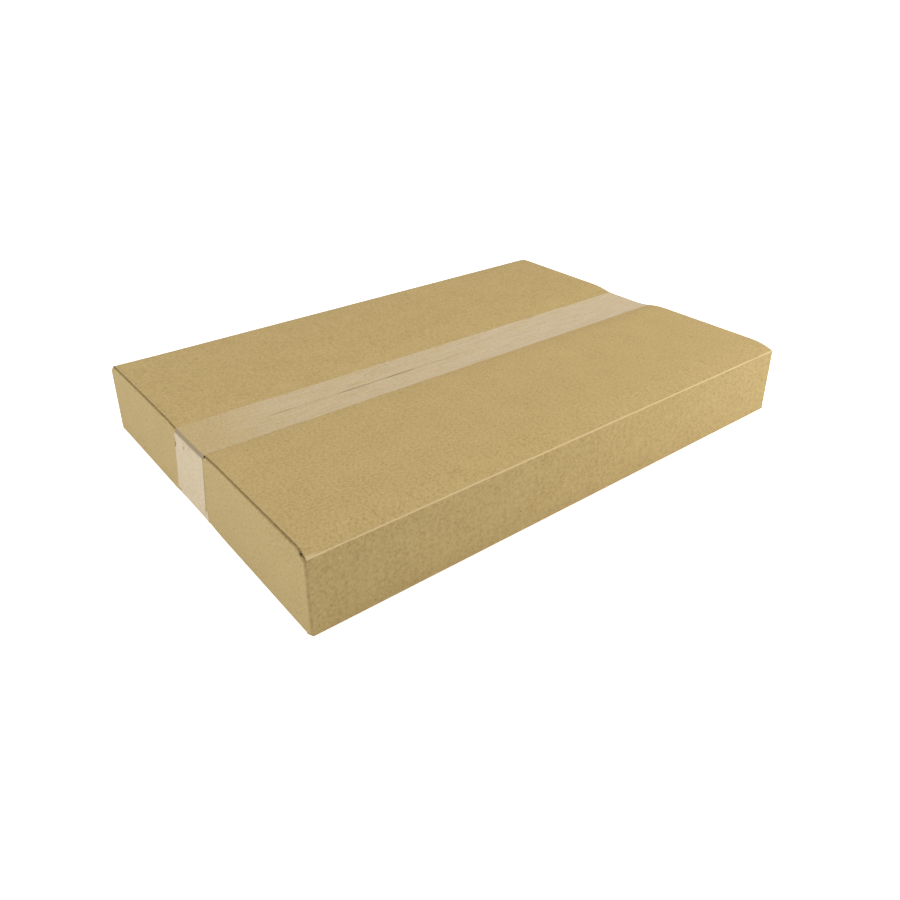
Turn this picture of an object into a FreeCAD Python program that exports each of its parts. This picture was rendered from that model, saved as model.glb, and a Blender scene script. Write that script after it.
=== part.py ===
import FreeCAD, Part
import math
import os
from FreeCAD import Vector

# A shallow shipping carton, folded from one corrugated blank, closed and taped.
# X runs along the long side, Z is up, and the origin is under the middle of the
# carton on the plane it rests on. Every length is in millimetres.

# Driving dimensions of the carton
LENGTH = 450.0         # outside, over the two end panels
WIDTH = 315.0          # outside, over the two long panels
PANEL_HEIGHT = 52.3    # a long panel, between its folds
BOARD = 1.6            # thin single-wall board
FOLD_RADIUS = 2.0      # outside of a fold
END_FOLD_RADIUS = 1.5  # outside of the folds that run along the end panels
FLAP_DEPTH = 157.0     # every flap reaches the middle of the width
SLOTS = (1.8, 0.8)     # an outer flap stands back this far from the near and far end's face
SEAM_GAP = 0.6         # between the two outer flaps
INNER_SIDE_GAP = 3.2   # from a long panel's face to the side of an inner flap
TIP_REACH = 2.6        # the end panels' corners reach at most this far past the long folds
CLEARANCE = 0.15       # between two flaps that lie on each other

# How far the outer flaps stand out beyond their own folds
TOP_RISES = (3.5, 2.5)        # the flap at -Y and the flap at +Y
TOP_SEAM_RISES = (1.3, -0.5)  # along the taped seam, at the near end, -X, and at the far end
BOTTOM_RISE = 1.6
BOTTOM_SEAM_RISE = 0.2
SHOULDER_RUN = 40.0    # from a long panel's face to where its flap lies level

# How steeply each outer flap leaves its fold: part of the flap's length, then degrees
TOP_SLOPES = (
    ((0.0, 38.0), (0.08, 20.0), (0.25, 12.0), (0.92, 12.0), (1.0, 20.0)),
    ((0.0, 38.0), (0.08, 28.0), (0.35, 25.0), (0.45, 21.0), (0.65, 28.0), (1.0, 26.0)),
)
BOTTOM_SLOPES = (((0.0, 26.0), (1.0, 26.0)),) * 2

# The tape pulls the flaps into a shallow dip along the seam. For the flaps at -Y and +Y:
DIP_FLATS = (9.0, 17.0)    # from the seam to the edge of the dip's level floor
DIP_EDGES = (43.0, 46.0)   # from the seam to the dip's own edge

# The joint where the blank's two ends are glued
GLUE_TAB = 35.0
TAB_INSET = 4.0        # the tab's ends stand back from the score lines

# Packing tape
TAPE_WIDTH = 48.0
TAPE = 0.2
TOP_TAIL_END = 7.5     # height of the ends of the top tape's tails
BOTTOM_TAIL = 13.0     # height of the ends of the bottom tape's tails
TAIL_LEAN = 11.0       # sideways run of the top tape's near tail
BOTTOM_SKEW = (5.5, -1.8)   # the bottom tape's sideways place at its near and far end
TAPE_TOUCH = 1.0       # from the top of an end panel's fold to where tape meets the panel
TAPE_JOG = 2.5         # height over which one tape climbs on to the other
TAPE_STATION = 4.0     # spacing of the tape's sections across the dip

# Worked out from the values above
INNER_FOLD = FOLD_RADIUS - BOARD
FOLD_LOW = BOTTOM_RISE + FOLD_RADIUS
FOLD_HIGH = FOLD_LOW + PANEL_HEIGHT
END_X = LENGTH / 2
SIDE_Y = WIDTH / 2
FLAP_ENDS = (SLOTS[0] - END_X, END_X - SLOTS[1])
INNER_HALF = SIDE_Y - INNER_SIDE_GAP
FAR = 1000.0           # beyond everything
SAME = 0.001           # places nearer than this are one


# A dipped surface is a pair: its levels at -Y and +Y, and its heights along the seam at
# the near and the far end.
def raised(surface, by):
    return tuple(tuple(height + by for height in pair) for pair in surface)


def flipped(surface):
    return tuple(tuple(-height for height in pair) for pair in surface)


OUTER_TOP = raised((TOP_RISES, TOP_SEAM_RISES), FOLD_HIGH + FOLD_RADIUS)
OUTER_BOTTOM = ((0.0, 0.0), (BOTTOM_RISE - BOTTOM_SEAM_RISE,) * 2)
INNER_TOP = raised(OUTER_TOP, -BOARD - CLEARANCE)
INNER_BOTTOM = raised(OUTER_BOTTOM, BOARD + CLEARANCE)


def block(low, high):
    size = [high[i] - low[i] for i in range(3)]
    return Part.makeBox(size[0], size[1], size[2], Vector(*low))


def mirrored_y(shape):
    return shape.mirror(Vector(0, 0, 0), Vector(0, 1, 0))


def polar(centre, radius, degrees):
    """A point of the YZ plane on a circle round centre."""
    angle = math.radians(degrees)
    return (centre[0] + radius * math.cos(angle), centre[1] + radius * math.sin(angle))


def arc(x, centre, radius, start, end):
    points = [polar(centre, radius, a) for a in (start, (start + end) / 2, end)]
    return Part.Arc(*[Vector(x, y, z) for y, z in points]).toShape()


def dip_edges(x, half, levels, floor):
    """The line of a dipped surface across the width at x, from -half to half."""
    edges = [Part.makeLine(Vector(x, -DIP_FLATS[0], floor), Vector(x, DIP_FLATS[1], floor))]
    for side, level, flat, edge in zip((-1, 1), levels, DIP_FLATS, DIP_EDGES):
        depth = level - floor
        run = edge - flat
        radius = (run ** 2 + depth ** 2) / (4 * abs(depth))
        turn = math.copysign(math.degrees(math.asin(run / (2 * radius))), depth)
        up = math.copysign(90.0, depth)
        rise = math.copysign(radius, depth)
        slope = [
            arc(x, (flat, floor + rise), radius, -up, turn - up),
            arc(x, (edge, level - rise), radius, turn + up, up),
            Part.makeLine(Vector(x, edge, level), Vector(x, half, level)),
        ]
        edges += slope if side > 0 else [mirrored_y(piece) for piece in slope]
    return edges


def dip_body(half, low, high):
    """A solid over the whole length between two dipped surfaces."""
    wires = []
    for end, x in enumerate((-END_X, END_X)):
        outline = dip_edges(x, half, low[0], low[1][end]) + dip_edges(x, half, high[0], high[1][end])
        for y, side in ((-half, 0), (half, 1)):
            outline.append(Part.makeLine(Vector(x, y, low[0][side]), Vector(x, y, high[0][side])))
        wires.append(Part.Wire(Part.__sortEdges__(outline)))
    return Part.makeLoft(wires, True, True)


def rounded_prism(x_low, x_high, y_low, y_high, z_low, z_high, radius):
    body = block((x_low, y_low, z_low), (x_high, y_high, z_high))
    upright = [edge for edge in body.Edges if edge.BoundBox.ZLength > BOARD]
    return body.makeFillet(radius, upright)


def panels(low, high):
    """The four panels round the carton, without the middles of the two end panels.

    The far corner at +Y is left open for the glued joint."""
    outer = rounded_prism(-END_X, END_X, -SIDE_Y, SIDE_Y, low, high, FOLD_RADIUS)
    inner = rounded_prism(-END_X + BOARD, END_X - BOARD, -SIDE_Y + BOARD, SIDE_Y - BOARD,
                          low, high, INNER_FOLD)
    half = INNER_HALF - FOLD_RADIUS
    middle = block((-FAR, -half, -FAR), (FAR, half, FAR))
    joint = block((FLAP_ENDS[1], SIDE_Y - BOARD, -FAR), (FAR, FAR, FAR))
    tab_corner = block((END_X - FOLD_RADIUS, SIDE_Y - BOARD - FOLD_RADIUS, -FAR), (FAR, SIDE_Y - BOARD, FAR))
    return outer.cut([inner, middle, joint, tab_corner])


def joint_corner(low, high):
    """The far corner at +X +Y: the end panel turns inside the long panel as a glue tab."""
    tab_face = SIDE_Y - BOARD
    outer = rounded_prism(-END_X, END_X, -SIDE_Y, tab_face, low, high, FOLD_RADIUS)
    inner = rounded_prism(-END_X + BOARD, END_X - BOARD, -SIDE_Y + BOARD, tab_face - BOARD,
                          low, high, INNER_FOLD)
    reach = END_X - BOARD - GLUE_TAB
    side = INNER_HALF - FOLD_RADIUS
    corner = outer.cut(inner).common(block((reach, side, low), (FAR, FAR, high)))
    for z_low, z_high in ((-FAR, FOLD_LOW + TAB_INSET), (FOLD_HIGH - TAB_INSET, FAR)):
        corner = corner.cut(block((reach, side, z_low), (END_X - BOARD, FAR, z_high)))
    return corner


def corner_tips(room):
    """Where the corners of the end panels reach up and down under the outer flaps."""
    tips = []
    for low, high in ((FOLD_LOW - TIP_REACH, FOLD_LOW), (FOLD_HIGH, FOLD_HIGH + TIP_REACH)):
        for corner in (panels(low, high), joint_corner(low, high)):
            tips.append(corner.cut([block((BOARD - END_X, -FAR, -FAR), (END_X - BOARD, FAR, FAR))] + room))
    return tips


def end_panel(sign):
    """An end panel with its two inner flaps, folded as one piece."""
    plate = dip_body(INNER_HALF, INNER_BOTTOM, INNER_TOP)
    flap_top = dip_body(INNER_HALF, raised(INNER_TOP, -BOARD), INNER_TOP)
    flap_bottom = dip_body(INNER_HALF, INNER_BOTTOM, raised(INNER_BOTTOM, BOARD))

    def span(x_from, x_to):
        ends = sorted((sign * x_from, sign * x_to))
        return block((ends[0], -FAR, -FAR), (ends[1], FAR, FAR))

    wall = span(END_X - BOARD, END_X)
    reach = span(END_X - FLAP_DEPTH, END_X)
    body = plate.common(wall).fuse([flap_top.common(reach), flap_bottom.common(reach)])
    body = body.removeSplitter()

    def is_fold(edge):
        box = edge.BoundBox
        off_face = max(abs(box.XMin - sign * END_X), abs(box.XMax - sign * END_X))
        return off_face < SAME and box.YLength > BOARD

    return body.makeFillet(END_FOLD_RADIUS, [edge for edge in body.Edges if is_fold(edge)])


def shoulder_section(x, slope, fold_z, plateau, above, below):
    """The outline at x of an outer flap's fold at -Y and of the bend up to its level part.

    The outline is grown by above on its outer face and by below on its inner face."""
    leave = 90 + slope
    fold = (-SIDE_Y + FOLD_RADIUS, fold_z)
    outer = FOLD_RADIUS + above
    inner = INNER_FOLD - below
    rise = plateau - polar(fold, FOLD_RADIUS, leave)[1]
    radius = rise / (1 - math.cos(math.radians(slope)))
    hub = polar(polar(fold, FOLD_RADIUS, leave), -radius, leave)
    level = -SIDE_Y + SHOULDER_RUN

    def line(start, end):
        return Part.makeLine(Vector(x, *start), Vector(x, *end))

    bend_outer = radius + above
    bend_inner = radius - BOARD - below
    return Part.Wire([
        arc(x, fold, outer, 180, leave),
        arc(x, hub, bend_outer, leave, 90),
        line((hub[0], hub[1] + bend_outer), (level, hub[1] + bend_outer)),
        line((level, hub[1] + bend_outer), (level, hub[1] + bend_inner)),
        line((level, hub[1] + bend_inner), (hub[0], hub[1] + bend_inner)),
        arc(x, hub, bend_inner, 90, leave),
        arc(x, fold, inner, leave, 180),
        line((fold[0] - inner, fold_z), (fold[0] - outer, fold_z)),
    ])


def shoulders(fold_z, surface, slopes, ends, above, below):
    """The folds of the two outer flaps on one face, from one end to the other."""
    folds = []
    for plateau, flap_slopes in zip(surface[0], slopes):
        wires = []
        for part, slope in flap_slopes:
            x = ends[0] + part * (ends[1] - ends[0])
            wires.append(shoulder_section(x, slope, fold_z, plateau, above, below))
        folds.append(Part.makeLoft(wires, True, True))
    return [folds[0], mirrored_y(folds[1])]


def outer_flaps(fold_z, surface, slopes):
    """The two outer flaps on one face of the carton, from fold to seam, facing up."""
    sheet = dip_body(SIDE_Y - SHOULDER_RUN, raised(surface, -BOARD), surface)
    sheet = sheet.common(block((FLAP_ENDS[0], -FAR, -FAR), (FLAP_ENDS[1], FAR, FAR)))
    sheet = sheet.cut(block((-FAR, -SEAM_GAP / 2, -FAR), (FAR, SEAM_GAP / 2, FAR)))
    return shoulders(fold_z, surface, slopes, FLAP_ENDS, 0.0, 0.0) + sheet.Solids


def upside_down(shapes):
    return [s.mirror(Vector(0, 0, 0), Vector(0, 0, 1)) for s in shapes]


def carton():
    top = (FOLD_HIGH, OUTER_TOP, TOP_SLOPES)
    bottom = (-FOLD_LOW, flipped(OUTER_BOTTOM), BOTTOM_SLOPES)
    flaps = outer_flaps(*top) + upside_down(outer_flaps(*bottom))
    reach = (-END_X - CLEARANCE, END_X + CLEARANCE)
    room = shoulders(*top, reach, BOARD, CLEARANCE)
    room += upside_down(shoulders(*bottom, reach, BOARD, CLEARANCE))
    ends = [end_panel(sign).cut(room) for sign in (-1, 1)]
    corner = joint_corner(FOLD_LOW, FOLD_HIGH)
    ring = panels(FOLD_LOW, FOLD_HIGH)
    return ring.fuse([corner] + corner_tips(room) + ends + flaps).removeSplitter()


def height_at(surface, x, y):
    """The height of a dipped surface at a point."""
    levels, floors = surface
    floor = floors[0] + (floors[1] - floors[0]) * (x + END_X) / LENGTH
    side = 0 if y < 0 else 1
    level = levels[side]
    run = DIP_EDGES[side] - DIP_FLATS[side]
    depth = level - floor
    radius = (run ** 2 + depth ** 2) / (4 * depth)
    from_floor = abs(y) - DIP_FLATS[side]
    if from_floor <= 0:
        return floor
    if from_floor >= run:
        return level
    if from_floor <= run / 2:
        return floor + radius - math.copysign(math.sqrt(radius ** 2 - from_floor ** 2), radius)
    from_edge = run - from_floor
    return level - radius + math.copysign(math.sqrt(radius ** 2 - from_edge ** 2), radius)


def tape_section(y, outer, inner, tail, side):
    """The tape's outline at y, in X and Z, over one face and down both ends."""
    lines = []
    for sign, flap_end in zip((-1, 1), FLAP_ENDS):
        edge_z = height_at(outer, flap_end, y)
        fold_z = height_at(inner, sign * END_X, y) - side * TAPE_TOUCH
        lower = [(abs(flap_end), edge_z), (END_X, fold_z)] + tail
        upper = [(abs(flap_end) + TAPE / 2, edge_z + side * TAPE)]
        upper += [(x + TAPE, z) for x, z in lower[1:]]
        lines.append([[(sign * x, z) for x, z in line] for line in (lower, upper)])
    (near_lower, near_upper), (far_lower, far_upper) = lines
    return near_lower[::-1] + far_lower + far_upper[::-1] + near_upper


def top_tape_section(y):
    lap = BOTTOM_TAIL + CLEARANCE
    tail = [(END_X, lap + TAPE_JOG), (END_X + TAPE, lap), (END_X + TAPE, TOP_TAIL_END)]
    return tape_section(y, OUTER_TOP, INNER_TOP, tail, 1)


def bottom_tape_section(y):
    return tape_section(y, OUTER_BOTTOM, INNER_BOTTOM, [(END_X, BOTTOM_TAIL)], -1)


def tape_loft(section, half):
    """A wide strip of tape over a face and down both ends, lofted across the dip."""
    count = math.ceil(2 * half / TAPE_STATION)
    wires = []
    for index in range(count + 1):
        y = -half + 2 * half * index / count
        points = [Vector(x, y, z) for x, z in section(y)]
        wires.append(Part.makePolygon(points + points[:1]))
    return Part.makeLoft(wires, True, True)


def prism(points, along):
    return Part.Face(Part.makePolygon(points + points[:1])).extrude(along)


def top_tape():
    """Over the top seam; its near tail leans to one side on the end panel."""
    half = TAPE_WIDTH / 2
    wide = tape_loft(top_tape_section, half + TAIL_LEAN + TAPE_STATION)
    straight = block((FLAP_ENDS[0], -half, -FAR), (FAR, half, FAR))
    edge = OUTER_TOP[1][0]
    outline = [(-half, FAR), (half, FAR), (half, edge), (half + TAIL_LEAN, 0),
               (-half + TAIL_LEAN, 0), (-half, edge)]
    leaning = prism([Vector(FLAP_ENDS[0], y, z) for y, z in outline], Vector(-FAR, 0, 0))
    return wide.common(straight).fuse(wide.common(leaning)).removeSplitter()


def bottom_tape():
    """Under the bottom seam, laid a little askew."""
    half = TAPE_WIDTH / 2
    wide = tape_loft(bottom_tape_section, half + BOTTOM_SKEW[0] + TAPE_STATION)
    outline = [(-END_X - BOARD, BOTTOM_SKEW[0]), (END_X + BOARD, BOTTOM_SKEW[1])]
    corners = [(x, y - half) for x, y in outline] + [(x, y + half) for x, y in reversed(outline)]
    strip = prism([Vector(x, y, -BOARD) for x, y in corners], Vector(0, 0, FAR))
    return wide.common(strip).removeSplitter()


def main():
    os.makedirs("parts", exist_ok=True)
    nodes = {"carton": carton(), "top_tape": top_tape(), "bottom_tape": bottom_tape()}
    for name, shape in nodes.items():
        box = shape.BoundBox
        print(name, "solids", len(shape.Solids), "valid", shape.isValid(),
              "volume", round(shape.Volume, 1), "faces", len(shape.Faces))
        print("  low", round(box.XMin, 3), round(box.YMin, 3), round(box.ZMin, 3),
              "high", round(box.XMax, 3), round(box.YMax, 3), round(box.ZMax, 3))
        shape.exportStep("parts/" + name + ".step")


main()
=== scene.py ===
import bpy
import bmesh
import math
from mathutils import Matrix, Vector, noise
from mathutils.bvhtree import BVHTree


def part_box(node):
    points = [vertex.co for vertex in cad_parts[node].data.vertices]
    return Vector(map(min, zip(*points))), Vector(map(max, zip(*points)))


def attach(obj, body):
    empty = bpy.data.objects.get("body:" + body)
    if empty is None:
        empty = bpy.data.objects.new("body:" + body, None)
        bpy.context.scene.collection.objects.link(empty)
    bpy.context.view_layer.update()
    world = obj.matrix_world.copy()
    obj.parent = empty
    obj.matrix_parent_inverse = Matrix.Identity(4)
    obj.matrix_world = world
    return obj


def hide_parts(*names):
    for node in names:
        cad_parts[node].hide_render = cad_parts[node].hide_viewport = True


# A shallow cardboard box, shut and taped, on a pale floor. Places are in metres in
# the model's own frame, with +X along the taped seam and +Z up.

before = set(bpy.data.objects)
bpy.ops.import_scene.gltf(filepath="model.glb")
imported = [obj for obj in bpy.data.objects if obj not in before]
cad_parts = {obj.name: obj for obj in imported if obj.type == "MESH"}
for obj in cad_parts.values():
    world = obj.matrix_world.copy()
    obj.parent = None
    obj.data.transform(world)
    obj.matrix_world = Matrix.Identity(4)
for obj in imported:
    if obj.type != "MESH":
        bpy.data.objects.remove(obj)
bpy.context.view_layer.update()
MM = 0.001

# Camera, as the photograph was taken
CAMERA_PLACE = (-0.3841, -0.4853, 0.3410)
CAMERA_AZIMUTH = -38.43      # degrees, 0 looks along +Y
CAMERA_ELEVATION = 26.81     # degrees that it looks down
CAMERA_LENS = 32.907         # millimetres
CAMERA_SENSOR = 36.0         # millimetres
CAMERA_SHIFT = -0.0665
CAMERA_NEAR = 0.01

# Soft lamps: name, place, size, power, colour. All of them face the box.
LAMPS = (
    ("overhead", (0.1, 0.1, 1.5), 1.4, 10.3, (1.02, 0.985, 0.99)),
    ("right", (0.8, -0.75, 0.45), 0.5, 8.2, (0.98, 1.02, 1.05)),
    ("left", (-1.3, 0.1, 0.6), 1.0, 9.4, (0.91, 1.0, 1.17)),
)
WORLD_LIGHT = 0.2
FLOOR_SIZE = 40.0
FLOOR_GLOW = 0.86            # brings the floor that the camera sees up to white

# Colours as they look on the real thing, with painted highlight, reflection and shadow in the fold, film
# and seam colours
KRAFT_DARK = "AC9159"
KRAFT = "BFA46A"
KRAFT_LIGHT = "D1B67E"
KRAFT_SPECK = "7A6238"
# the pale of the folds: stretch-whitened liner with a painted highlight on the ridge
KRAFT_FOLD_WEAR_AND_HIGHLIGHT = "D8BE8A"
# the film's haze, with a painted reflection of the white room in it
FILM_HAZE_AND_REFLECTION = "EADDD0"
SEAM_SHADOW = "57462B"
FLOOR_WHITE = "F4F4F4"
DEEP = "deep_shadow"         # the mesh attribute that says where shadow lies deep

# What shows in the board, in millimetres
FIBRE = 1.8
CLOUD = 22.0
SPECK_SPACING = 9.0
FLUTE_PITCH = 6.8            # faint lines where the liner sinks between the flutes
FLUTE_BEND = 60.0            # over this length the lines wander a little
LINER = 0.2                  # each liner of a cut edge, with the open flute between
FLUTE_DEPTH = 3.0            # how far one can see into a cut edge
SETBACK = (0.3, 2.5)         # the cut edges stand back from the ends by between these
CORNER_SHUT = 2.0            # the flutes are pressed shut over this length at the corners
CORNER_FADE = 5.0            # and open over this length beside it
FIBRE_BUMP = 0.1

# How much of it shows
CLOUD_SHARE = 0.14           # of the paper's tone
FLUTE_SHARE = 0.02
FLUTE_BUMP_SHARE = 0.25      # of the fibres' bump
FLUTE_WANDER = 2.0           # radians of a line's turn
BUMP_STRENGTH = 0.2
TONES = (0.38, 0.63, 0.88)   # where the paper is darkest, plain and palest
SPECKED = (0.6, 0.62)        # patches whose random value is above this have a speck
SPECK_RIM = (0.07, 0.04)     # a speck's rim and core, as parts of the spacing
LONG_FOLD_WEAR_AND_HIGHLIGHT = (0.40, 0.49)     # the normal's Y times its Z, where a long fold turns pale: stretch wear and a painted highlight
END_FOLD_WEAR_AND_HIGHLIGHT = (0.25, 0.49)      # the same of X and Z, for the folds at the ends
END_FOLD_WEAR_AND_HIGHLIGHT_SHARE = 0.15        # which are less pale
END_FACE = (0.3, 0.7)        # the normal's X, from the sides and top to the ends

# The tape's film, in millimetres
TAPE_WIDTH = 48.0
FILM = 0.2
FILM_STEP = 1.5              # spacing of the film's mesh along the seam
FILM_CELLS = 80              # cells across the film
TAIL_STEP = 1.2
FIRST_STATION = 0.4          # the first station on the top, past the fold
BRIDGE = (0.5, 2.0)          # this far from the ends the film spans the flaps' cut edges
BRIDGE_STEP = 0.3
BRIDGE_STATIONS = 7
BRIDGE_SHADOW = 0.6          # the share of the cut edges' shadow that the film lets through
TOOTH_PITCH = 2.4            # the sawn ends that a tape cutter leaves
TOOTH = 0.8
TOOTH_FADE = 8               # the higher, the nearer to the end the teeth stay
RIPPLE = 0.07                # the film's unevenness where it was smoothed down
RIPPLE_LENGTH = 38.0
RIPPLE_WIDTH = 5.0
TAIL_RIPPLES = 3             # along a tail
TAIL_FIRM = 0.25             # the part of a tail, from the fold, where the ripples grow
CREASE_WIDTH = 0.45
FULL_DEPTH = 0.25            # a crease this deep gets the seam's full painted shadow
RAY_INSIDE = 0.97            # rays stay just inside the edges of the model's tape
FOLD_INSET = 0.3             # and this far inside its folds
TAIL_END_INSET = 0.05        # and this far above its tails' ends

# Creases where the film spans the seam, with painted shadow by their depth: from x, to x, y at both ends,
# depth
CREASES = (
    (-166.0, -141.0, 0.3, 0.1, 0.22),
    (-150.0, -96.0, 0.1, 0.0, 0.10),
    (-108.0, -76.0, 0.2, -0.1, 0.36),
    (-90.0, -40.0, 0.0, 0.1, 0.14),
    (-97.0, -84.0, 6.4, 5.6, 0.10),
    (-92.0, -80.0, -3.2, -2.8, 0.10),
    (-64.0, -32.0, 0.1, 0.0, 0.36),
    (-40.0, 30.0, 0.0, 0.2, 0.12),
    (64.0, 98.0, 0.2, -0.2, 0.08),
    (142.0, 160.0, 0.0, 0.3, 0.10),
)

# The film's haze and painted reflection, in millimetres and in shares of their colour
STREAK = 2.5
STREAK_STRETCH = 0.1         # the streaks are ten times as long as wide
HAZE_SPREAD = 0.5
HAZE_LEAST = -0.05
PATCH = 14.0                 # the near end is rubbed clear in patches of this size
PATCH_REACH = 40.0
RUBBED_CLEAR = (-195.0, -140.0)    # x from where the film is clear to where it is hazy
PALER = (-120.0, 120.0)            # x over which the haze grows from near to far
NEAR_HAZE_AND_REFLECTION = 0.68
FAR_GAIN = 0.32
TAIL_HAZE_AND_REFLECTION = 0.58
TAIL_FACE = (0.6, 0.9)       # the normal's X, from the top to a tail


def linear(hex_colour):
    """An sRGB hex colour as the linear RGBA that the nodes take."""
    channels = [int(hex_colour[i:i + 2], 16) / 255 for i in (0, 2, 4)]
    return [c / 12.92 if c <= 0.04045 else ((c + 0.055) / 1.055) ** 2.4 for c in channels] + [1.0]


def per_mm(size):
    """The scale of a pattern whose features are size millimetres wide."""
    return 1 / (size * MM)


def node(tree, kind, inputs=None, **settings):
    """Adds a node. Each input is a value, or the socket that feeds it."""
    made = tree.nodes.new("ShaderNode" + kind)
    for name, value in settings.items():
        setattr(made, name, value)
    for name, value in (inputs or {}).items():
        socket = made.inputs[name]
        if isinstance(value, bpy.types.NodeSocket):
            tree.links.new(value, socket)
        else:
            socket.default_value = value
    return made


def new_material(name):
    material = bpy.data.materials.new(name)
    material.use_nodes = True
    tree = material.node_tree
    tree.nodes.clear()
    return material, tree


def math_of(tree, operation, *values):
    return node(tree, "Math", dict(enumerate(values)), operation=operation).outputs[0]


def between(tree, value, low, high):
    """0 at low and 1 at high, smoothly."""
    inputs = {"Value": value, "From Min": low, "From Max": high}
    return node(tree, "MapRange", inputs, interpolation_type="SMOOTHSTEP").outputs["Result"]


def mixed(tree, factor, first, second):
    inputs = {0: factor, 6: first, 7: second}
    return node(tree, "Mix", inputs, data_type="RGBA").outputs[2]


def grain(tree, place, size, **inputs):
    """Noise whose features are size millimetres wide."""
    inputs = {"Vector": place, "Scale": per_mm(size), **inputs}
    return node(tree, "TexNoise", inputs).outputs[0]


def fluting(tree, place, sizes):
    """Shallow lines at the flutes' pitch, on every face that the flutes run behind."""
    along = node(tree, "SeparateXYZ", {0: place}).outputs["X"]
    wander = math_of(tree, "MULTIPLY", grain(tree, place, FLUTE_BEND), FLUTE_WANDER)
    turn = math_of(tree, "MULTIPLY_ADD", along, math.tau * per_mm(FLUTE_PITCH), wander)
    wave = math_of(tree, "MULTIPLY_ADD", math_of(tree, "SINE", turn), 0.5, 0.5)
    beside_ends = math_of(tree, "SUBTRACT", 1.0, between(tree, sizes["X"], *END_FACE))
    return math_of(tree, "MULTIPLY", wave, beside_ends)


def kraft_colour(tree, place, sizes):
    """Unbleached liner: short fibres, soft clouds, flute lines, a few dark specks, and folds pale from
    stretch wear and a painted highlight.
    """
    darkest, plain, palest = TONES
    tone = grain(tree, place, FIBRE, Detail=3.0, Roughness=0.7)
    tone = math_of(tree, "MULTIPLY_ADD", grain(tree, place, CLOUD, Detail=2.0), CLOUD_SHARE, tone)
    tone = math_of(tree, "MULTIPLY_ADD", fluting(tree, place, sizes), FLUTE_SHARE, tone)
    paper = mixed(tree, between(tree, tone, darkest, plain), linear(KRAFT_DARK), linear(KRAFT))
    paper = mixed(tree, between(tree, tone, plain, palest), paper, linear(KRAFT_LIGHT))
    cells = node(tree, "TexVoronoi", {"Vector": place, "Scale": per_mm(SPECK_SPACING)}).outputs
    chance = node(tree, "SeparateColor", {0: cells["Color"]}).outputs[0]
    speck = math_of(
        tree, "MULTIPLY",
        between(tree, cells["Distance"], *SPECK_RIM),
        between(tree, chance, *SPECKED),
    )
    paper = mixed(tree, speck, paper, linear(KRAFT_SPECK))
    long_fold_wear_and_highlight = between(tree, math_of(tree, "MULTIPLY", sizes["Y"], sizes["Z"]), *LONG_FOLD_WEAR_AND_HIGHLIGHT)
    end_fold_wear_and_highlight = between(tree, math_of(tree, "MULTIPLY", sizes["X"], sizes["Z"]), *END_FOLD_WEAR_AND_HIGHLIGHT)
    # folds turn pale by stretch wear, with a painted highlight on their ridge
    fold = math_of(tree, "MAXIMUM", long_fold_wear_and_highlight, math_of(tree, "MULTIPLY", end_fold_wear_and_highlight, END_FOLD_WEAR_AND_HIGHLIGHT_SHARE))
    return mixed(tree, fold, paper, linear(KRAFT_FOLD_WEAR_AND_HIGHLIGHT))


def shaded(tree, colour):
    """The colour, darker where the mesh says that shadow lies deep."""
    depth = node(tree, "Attribute", attribute_name=DEEP).outputs["Fac"]
    return mixed(tree, depth, colour, linear(SEAM_SHADOW))


def surface_inputs(tree):
    """The place on the piece, and the sizes of the parts of its normal."""
    coords = node(tree, "TexCoord")
    sizes = node(tree, "VectorMath", {0: coords.outputs["Normal"]}, operation="ABSOLUTE")
    return coords.outputs["Object"], node(tree, "SeparateXYZ", {0: sizes.outputs[0]}).outputs


def kraft_linerboard():
    """Kraft liner on corrugated board: matt, with a fibrous tooth and faint flute lines."""
    material, tree = new_material("kraft_linerboard")
    place, sizes = surface_inputs(tree)
    tooth = grain(tree, place, FIBRE / 2, Detail=3.0)
    tooth = math_of(tree, "MULTIPLY_ADD", fluting(tree, place, sizes), FLUTE_BUMP_SHARE, tooth)
    bump = node(tree, "Bump", {"Height": tooth, "Strength": BUMP_STRENGTH, "Distance": FIBRE_BUMP * MM})
    shader = node(tree, "BsdfPrincipled", {
        "Base Color": shaded(tree, kraft_colour(tree, place, sizes)),
        "Roughness": 0.8,
        "IOR": 1.45,
        "Normal": bump.outputs[0],
    })
    node(tree, "OutputMaterial", {"Surface": shader.outputs[0]})
    return material


def film_haze_and_reflection(tree, place, sizes):
    """How hazy the film is, its haze and a painted reflection of the white room together: in long streaks,
    less at the near end and down the tails.
    """
    along = node(tree, "SeparateXYZ", {0: place}).outputs["X"]
    streaks = node(tree, "Mapping", {"Vector": place, "Scale": (STREAK_STRETCH, 1.0, 1.0)}).outputs[0]
    uneven = grain(tree, streaks, STREAK, Detail=3.0)
    uneven = math_of(tree, "MULTIPLY_ADD", uneven, HAZE_SPREAD, HAZE_LEAST)
    patchy = math_of(tree, "MULTIPLY_ADD", grain(tree, place, PATCH), PATCH_REACH * MM, along)
    near = between(tree, patchy, *(x * MM for x in RUBBED_CLEAR))
    near = math_of(tree, "MULTIPLY", near, NEAR_HAZE_AND_REFLECTION)
    far = between(tree, along, *(x * MM for x in PALER))
    top = math_of(tree, "MULTIPLY_ADD", far, FAR_GAIN, near)
    tail = math_of(tree, "MULTIPLY", between(tree, sizes["X"], *TAIL_FACE), TAIL_HAZE_AND_REFLECTION)
    return math_of(tree, "MULTIPLY", uneven, math_of(tree, "MAXIMUM", top, tail))


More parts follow.
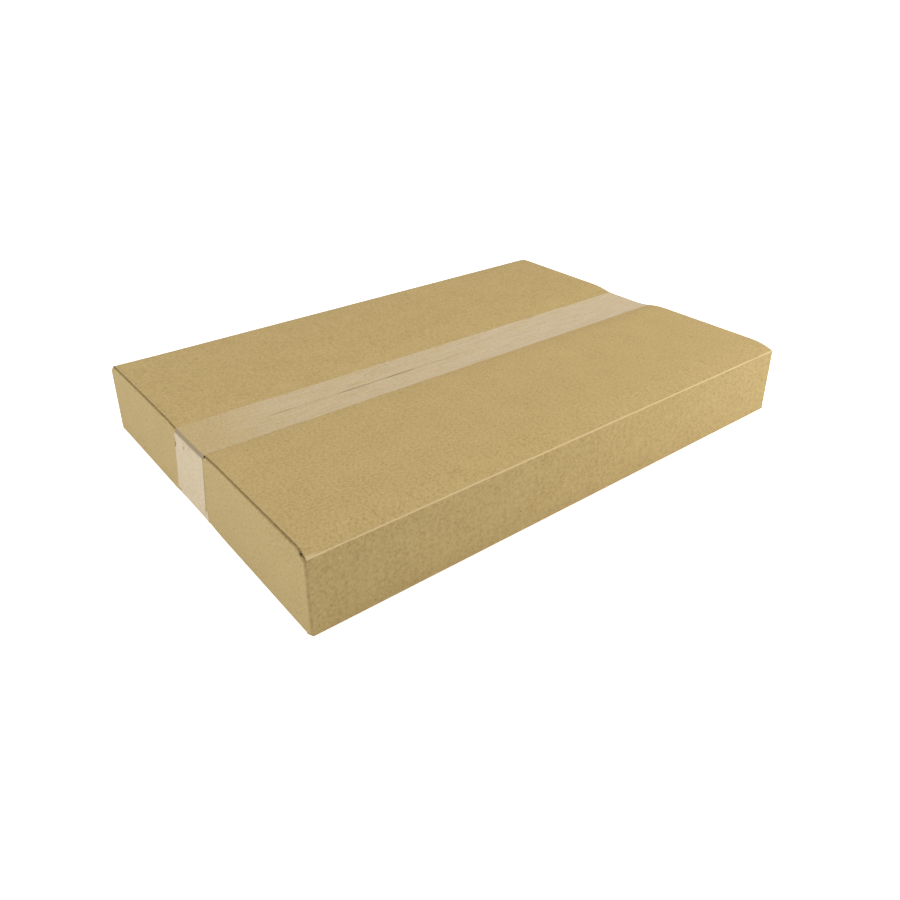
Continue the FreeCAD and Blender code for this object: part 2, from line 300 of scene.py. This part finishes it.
def packing_film():
    """Clear polypropylene film stuck on kraft: hazy and paler than the board, partly by a painted
    reflection of the white room, with a soft gloss.

    It is clearer where it was rubbed down hard at the near end, and it lets the
    seam's shadow through where it spans the gap."""
    material, tree = new_material("packing_film")
    place, sizes = surface_inputs(tree)
    paper = kraft_colour(tree, place, sizes)
    # the haze, which also paints the white room's reflection
    colour = mixed(tree, film_haze_and_reflection(tree, place, sizes), paper, linear(FILM_HAZE_AND_REFLECTION))
    shader = node(tree, "BsdfPrincipled", {
        "Base Color": shaded(tree, colour),
        "Roughness": 0.42,
        "IOR": 1.5,
    })
    node(tree, "OutputMaterial", {"Surface": shader.outputs[0]})
    return material


def dress(name, material):
    """Gives a node of the model its finish."""
    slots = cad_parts[name].data.materials
    slots.clear()
    slots.append(material)


def finish_piece(bm, name, material, replaced):
    """Makes the shaped mesh a piece that rides with the box and stands for a node."""
    for face in bm.faces:
        face.smooth = True
    mesh = bpy.data.meshes.new(name)
    bm.to_mesh(mesh)
    bm.free()
    mesh.set_sharp_from_angle(angle=math.radians(50))
    mesh.materials.append(material)
    piece = bpy.data.objects.new(name, mesh)
    bpy.context.collection.objects.link(piece)
    flat = piece.modifiers.new("flat_panels", "WEIGHTED_NORMAL")
    flat.keep_sharp = True
    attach(piece, "root")
    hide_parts(replaced)


def board():
    """The folded blank, with the open flute between the liners of its cut edges."""
    bm = bmesh.new()
    bm.from_mesh(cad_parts["carton"].data)
    deep = bm.verts.layers.float.new(DEEP)
    bmesh.ops.remove_doubles(bm, verts=bm.verts, dist=0.01 * MM)
    low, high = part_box("carton")
    nearest, farthest = SETBACK
    for sign, end in ((-1, low.x), (1, high.x)):
        cut = [face for face in bm.faces if sign * face.normal.x > 0.99
               and nearest < abs(face.calc_center_median().x - end) / MM < farthest]
        bmesh.ops.inset_region(bm, faces=cut, thickness=LINER * MM, use_boundary=True, use_even_offset=True)
        flute = bmesh.ops.extrude_face_region(bm, geom=cut)["geom"]
        bmesh.ops.delete(bm, geom=cut, context="FACES_ONLY")
        # the flute's walls take painted shadow, none where the flutes are pressed shut at the corners
        for vert in flute:
            if isinstance(vert, bmesh.types.BMVert):
                from_corner = (high.y - abs(vert.co.y)) / MM
                vert[deep] = max(0.0, min(1.0, (from_corner - CORNER_SHUT) / CORNER_FADE))
                vert.co.x -= sign * FLUTE_DEPTH * MM * vert[deep]
    finish_piece(bm, "board_blank", kraft_linerboard(), "carton")


def crease_at(x, y):
    """How deep the film lies in its creases at x and y, all in millimetres."""
    depth = 0.0
    for x_from, x_to, y_from, y_to, deepest in CREASES:
        part = (x - x_from) / (x_to - x_from)
        if 0 < part < 1:
            off = (y - y_from - part * (y_to - y_from)) / CREASE_WIDTH
            depth += deepest * math.sin(math.pi * part) * math.exp(-off * off)
    return depth


def film_stations(low, high):
    """The film's stations from its near tail's end to its far tail's end.

    Each is an end's sign, or 0 on the top, then its x and how far down the tail it is, 0 to 1."""
    drop_count = round((high.z - low.z) / (TAIL_STEP * MM))
    drops = [index / drop_count for index in range(drop_count + 1)]
    length = (high.x - low.x) / MM
    ends = [FIRST_STATION + BRIDGE_STEP * index for index in range(BRIDGE_STATIONS)]
    between_ends = length - 2 * ends[-1]
    count = round(between_ends / FILM_STEP)
    middle = [ends[-1] + between_ends * index / count for index in range(1, count)]
    tops = [low.x + x * MM for x in ends + middle + [length - x for x in reversed(ends)]]
    near = [(-1, low.x, drop) for drop in reversed(drops)]
    far = [(1, high.x, drop) for drop in drops]
    return near + [(0, x, 0.0) for x in tops] + far


def tape_skin():
    """The model's own tape, as rays find it."""
    tape = bmesh.new()
    tape.from_mesh(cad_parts["top_tape"].data)
    skin = BVHTree.FromBMesh(tape)
    tape.free()
    return skin


def top_height(skin, x, y):
    return skin.ray_cast(Vector((x, y, 1)), Vector((0, 0, -1)))[0].z


def tail_face(skin, sign, y, z):
    return skin.ray_cast(Vector((sign, y, z)), Vector((-sign, 0, 0)))[0].x


def tail_place(skin, sign, x, y, drop, low, lean, lift):
    """Where the film lies on a tail, with the teeth of its sawn end."""
    corner = FOLD_INSET * MM
    fold = top_height(skin, x - sign * corner, y * RAY_INSIDE)
    z = fold + (low.z - fold) * drop
    side = y + (lean * drop if sign < 0 else 0)
    ray_z = min(z, fold - corner) + TAIL_END_INSET * MM
    face = tail_face(skin, sign, side * RAY_INSIDE, ray_z)
    tooth = abs(y / (TOOTH_PITCH * MM) % 1 - 0.5) * 2 * TOOTH * MM
    return (face - sign * lift * min(1, drop / TAIL_FIRM), side, z + tooth * drop ** TOOTH_FADE)


def top_film(film):
    """The strip over the top seam and down both ends, laid over the model's own tape."""
    skin = tape_skin()
    low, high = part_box("top_tape")
    lean = high.y - TAPE_WIDTH / 2 * MM
    stations = film_stations(low, high)
    bm = bmesh.new()
    bmesh.ops.create_grid(bm, x_segments=len(stations) - 1, y_segments=FILM_CELLS, size=0.5)
    deep = bm.verts.layers.float.new(DEEP)
    for vert in bm.verts:
        sign, x, drop = stations[round((vert.co.x + 0.5) * (len(stations) - 1))]
        y = vert.co.y * TAPE_WIDTH * MM
        pattern_place = (x / (RIPPLE_LENGTH * MM), y / (RIPPLE_WIDTH * MM), drop * TAIL_RIPPLES)
        lift = RIPPLE * MM * max(0.0, 0.5 + noise.noise(Vector(pattern_place)))
        if sign == 0:
            dent = crease_at(x / MM, y / MM)
            spans = BRIDGE[0] < min(x - low.x, high.x - x) / MM < BRIDGE[1]
            # painted shadow: where the film spans the cut edges, and in the creases by their depth
            vert[deep] = BRIDGE_SHADOW if spans else min(1.0, dent / FULL_DEPTH)
            vert.co = (x, y, top_height(skin, x, y * RAY_INSIDE) + lift - dent * MM)
        else:
            vert.co = tail_place(skin, sign, x, y, drop, low, lean, lift)
    bmesh.ops.solidify(bm, geom=bm.faces[:], thickness=FILM * MM)
    bmesh.ops.recalc_face_normals(bm, faces=bm.faces)
    finish_piece(bm, "sealing_tape", film, "top_tape")


def seen_directly(tree):
    """1 for the rays by which the camera sees a thing, also in or through another."""
    rays = node(tree, "LightPath").outputs
    seen = math_of(tree, "MAXIMUM", rays["Is Camera Ray"], rays["Is Glossy Ray"])
    return math_of(tree, "MAXIMUM", seen, rays["Is Transmission Ray"])


def pale_floor():
    """A pale matt floor that shows white to the camera and keeps the box's shadow."""
    material, tree = new_material("pale_floor")
    matt = node(tree, "BsdfDiffuse", {"Color": linear(FLOOR_WHITE)})
    strength = math_of(tree, "MULTIPLY", seen_directly(tree), FLOOR_GLOW)
    glow = node(tree, "Emission", {"Strength": strength})
    both = node(tree, "AddShader", {0: matt.outputs[0], 1: glow.outputs[0]})
    node(tree, "OutputMaterial", {"Surface": both.outputs[0]})
    return material


def floor():
    bpy.ops.mesh.primitive_plane_add(size=FLOOR_SIZE)
    plane = bpy.context.object
    plane.name = "floor"
    plane.data.materials.append(pale_floor())


def softbox(name, place, size, power, colour):
    light = bpy.data.lights.new(name, "AREA")
    light.shape = "SQUARE"
    light.size = size
    light.energy = power
    light.color = colour
    lamp = bpy.data.objects.new(name, light)
    lamp.location = place
    lamp.rotation_euler = (-Vector(place)).to_track_quat("-Z", "Y").to_euler()
    bpy.context.collection.objects.link(lamp)


def studio():
    """A white room: it lights the box softly, and the camera and reflections see it as white."""
    world = bpy.data.worlds.new("studio_white")
    bpy.context.scene.world = world
    world.use_nodes = True
    tree = world.node_tree
    tree.nodes.clear()
    strength = math_of(tree, "MULTIPLY_ADD", seen_directly(tree), 1 - WORLD_LIGHT, WORLD_LIGHT)
    sky = node(tree, "Background", {"Color": (1, 1, 1, 1), "Strength": strength})
    node(tree, "OutputWorld", {"Surface": sky.outputs[0]})
    for lamp in LAMPS:
        softbox(*lamp)


def camera():
    data = bpy.data.cameras.new("camera")
    data.lens = CAMERA_LENS
    data.sensor_width = CAMERA_SENSOR
    data.shift_y = CAMERA_SHIFT
    data.clip_start = CAMERA_NEAR
    made = bpy.data.objects.new("camera", data)
    made.location = CAMERA_PLACE
    made.rotation_euler = (math.radians(90 - CAMERA_ELEVATION), 0, math.radians(CAMERA_AZIMUTH))
    bpy.context.collection.objects.link(made)
    bpy.context.scene.camera = made


film = packing_film()
board()
top_film(film)
dress("bottom_tape", film)
floor()
studio()
camera()
bpy.context.scene.view_settings.view_transform = "Standard"
